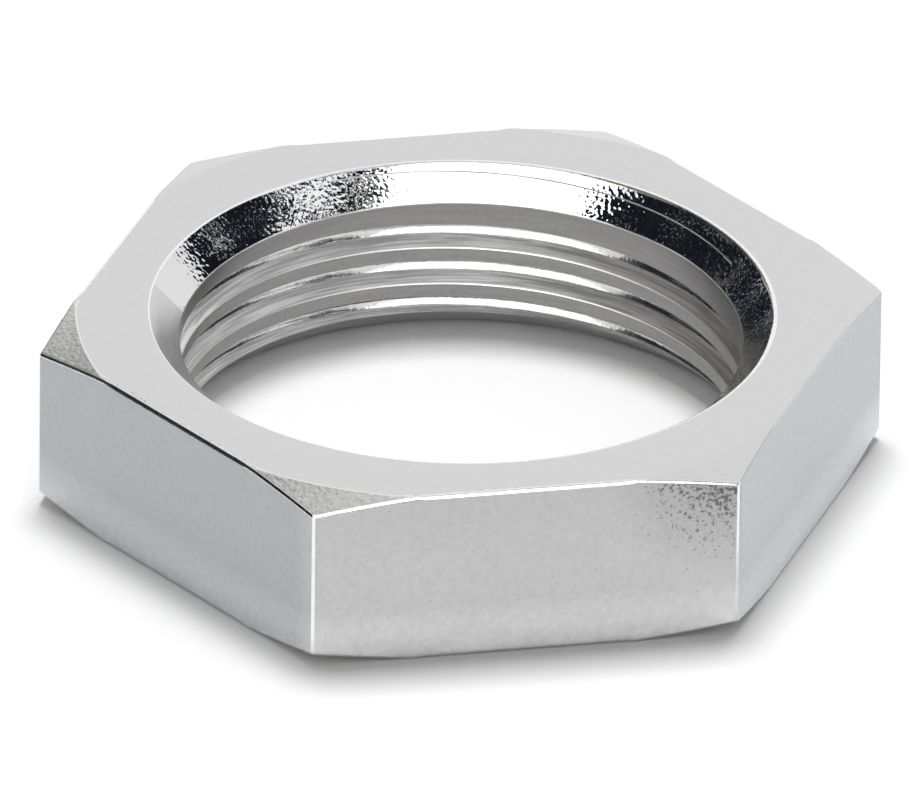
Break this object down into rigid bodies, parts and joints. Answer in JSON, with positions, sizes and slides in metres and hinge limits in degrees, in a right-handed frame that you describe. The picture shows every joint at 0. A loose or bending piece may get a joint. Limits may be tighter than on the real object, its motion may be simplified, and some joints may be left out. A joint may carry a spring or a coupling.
{
  "type": "flat panel nut",
  "caption": "Flat hexagonal panel nut with chamfered corners and a fine-threaded through hole countersunk on both faces.",
  "frame": {"origin": "centre of the lower face, on the axis of the threaded hole", "axes": "+Z along the threaded hole, away from the face that lies on the panel; two opposite corners of the hexagon lie on the X axis, and two opposite flats face +Y and -Y"},
  "size_m": [0.0312, 0.027, 0.0066],
  "materials": {
    "nickel": "nickel-plated brass, satin silver faces with bright turned edges"
  },
  "bodies": {
    "root": {"nut": "nickel"}
  },
  "joints": []
}
